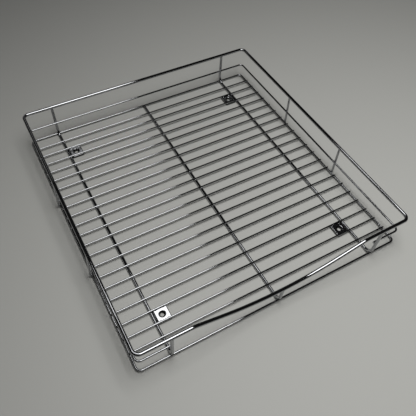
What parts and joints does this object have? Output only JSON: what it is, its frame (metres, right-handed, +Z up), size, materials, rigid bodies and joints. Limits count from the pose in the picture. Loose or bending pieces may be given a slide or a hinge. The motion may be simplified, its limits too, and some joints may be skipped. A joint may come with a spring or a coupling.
{
  "type": "wire roll-out cabinet basket",
  "caption": "Shallow rectangular chrome wire basket with a dipped front rail and screw plates under its floor, made to ride on slides in a base cabinet.",
  "frame": {"origin": "middle of the footprint, on the plane that the runners and the plates' lower edges rest on", "axes": "+Z up, +X to the right seen from the front, -Y towards the front rail with the hand dip, +Y into the cabinet"},
  "size_m": [0.5266, 0.5512, 0.0774],
  "materials": {
    "frame_wire": "polished chrome plate on welded steel wire",
    "floor_wire": "polished chrome plate on thin steel wire",
    "plate": "chrome plate on pressed steel sheet"
  },
  "bodies": {
    "root": {"top_rim": "frame_wire", "mid_rim": "frame_wire", "bottom_rim": "frame_wire", "left_runner": "frame_wire", "centre_runner": "frame_wire", "right_runner": "frame_wire", "left_side_upright_rear": "frame_wire", "left_side_upright_front": "frame_wire", "right_side_upright_rear": "frame_wire", "right_side_upright_front": "frame_wire", "cross_wire_01": "floor_wire", "cross_wire_02": "floor_wire", "cross_wire_03": "floor_wire", "cross_wire_04": "floor_wire", "cross_wire_05": "floor_wire", "cross_wire_06": "floor_wire", "cross_wire_07": "floor_wire", "cross_wire_08": "floor_wire", "cross_wire_09": "floor_wire", "cross_wire_10": "floor_wire", "cross_wire_11": "floor_wire", "cross_wire_12": "floor_wire", "cross_wire_13": "floor_wire", "cross_wire_14": "floor_wire", "cross_wire_15": "floor_wire", "cross_wire_16": "floor_wire", "cross_wire_17": "floor_wire", "cross_wire_18": "floor_wire", "cross_wire_19": "floor_wire", "cross_wire_20": "floor_wire", "cross_wire_21": "floor_wire", "mounting_plate_left_rear": "plate", "mounting_plate_left_front": "plate", "mounting_plate_right_rear": "plate", "mounting_plate_right_front": "plate"}
  },
  "joints": []
}
